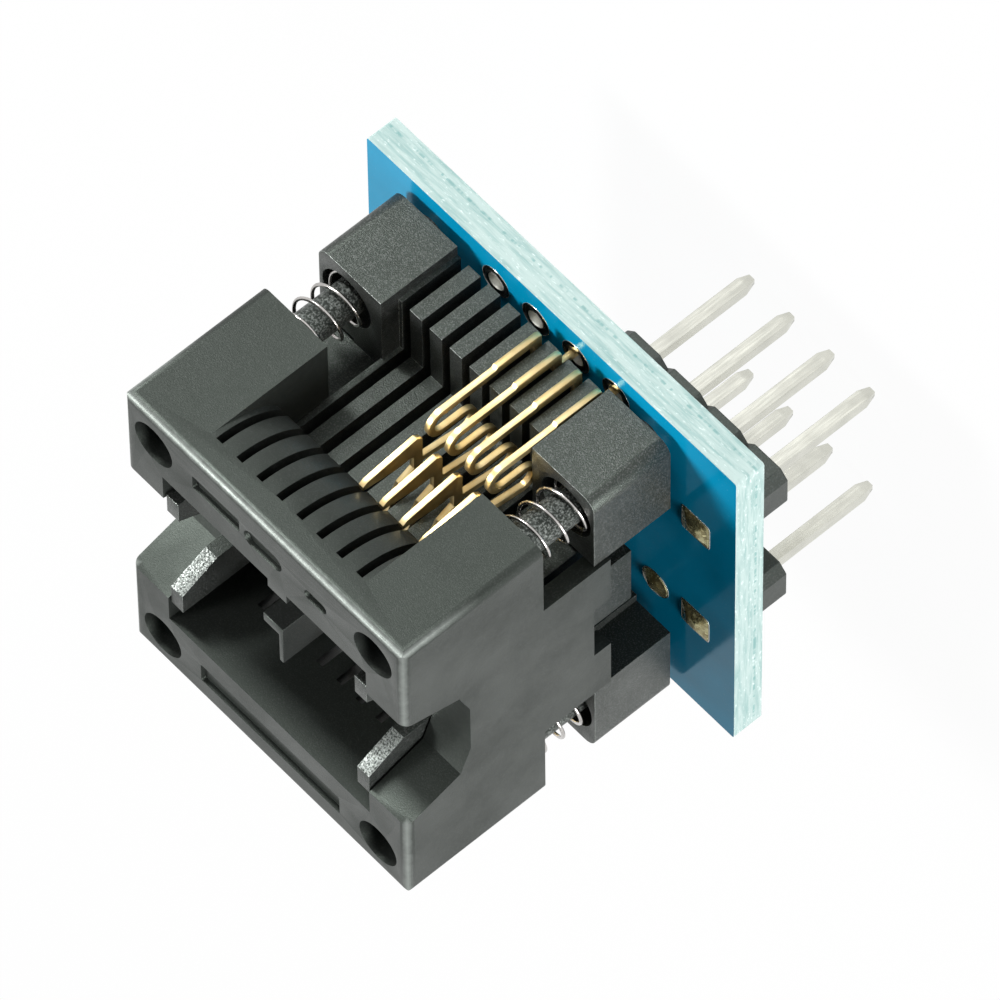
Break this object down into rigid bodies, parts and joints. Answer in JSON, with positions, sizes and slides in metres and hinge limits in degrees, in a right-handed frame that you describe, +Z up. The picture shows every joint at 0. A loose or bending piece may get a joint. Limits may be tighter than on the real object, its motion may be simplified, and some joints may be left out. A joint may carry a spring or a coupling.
{
  "type": "ic programming adapter",
  "caption": "Open-top spring test socket for a narrow small-outline chip, soldered on a small circuit board with two rows of square pins that plug into a dual-in-line socket.",
  "frame": {"origin": "under the centre of the circuit board, at the level of the header pin tips", "axes": "+Z up through the board to the open top of the socket; +X along the pin rows, towards the free end of the board; +Y across the rows"},
  "size_m": [0.0234, 0.0208, 0.0258],
  "materials": {
    "board_laminate": "blue solder mask on glass-fibre laminate, pale sawn edges",
    "strip_plastic": "moulded, satin",
    "pin_tin": "tin plated",
    "solder": "dull solder with flux film",
    "base_plastic": "glass-filled, fine spark-eroded grain",
    "cover_plastic": "glass-filled, fine spark-eroded grain",
    "spring_steel": "bright drawn wire",
    "contact_gold": "thin gold plating"
  },
  "bodies": {
    "base": {"circuit_board": "board_laminate", "header_strip_a": "strip_plastic", "header_strip_b": "strip_plastic", "header_pin_a1": "pin_tin", "header_pin_a2": "pin_tin", "header_pin_a3": "pin_tin", "header_pin_a4": "pin_tin", "header_pin_b1": "pin_tin", "header_pin_b2": "pin_tin", "header_pin_b3": "pin_tin", "header_pin_b4": "pin_tin", "pin_joints": "solder", "tail_joints": "solder", "socket_base": "base_plastic", "chip_stop": "base_plastic", "cover_spring_1": "spring_steel", "cover_spring_2": "spring_steel", "cover_spring_3": "spring_steel", "cover_spring_4": "spring_steel", "contact_a1": "contact_gold", "contact_a2": "contact_gold", "contact_a3": "contact_gold", "contact_a4": "contact_gold", "contact_b1": "contact_gold", "contact_b2": "contact_gold", "contact_b3": "contact_gold", "contact_b4": "contact_gold"},
    "cover": {"socket_cover": "cover_plastic"}
  },
  "joints": [
    {"name": "cover_press", "type": "slide", "parent": "base", "child": "cover", "axis": [0, 0, 1], "range_m": [-0.0029, 0], "stiffness_N_per_m": 690, "springref_m": 0.0015, "deforming": ["cover_spring_1", "cover_spring_2", "cover_spring_3", "cover_spring_4"]}
  ]
}
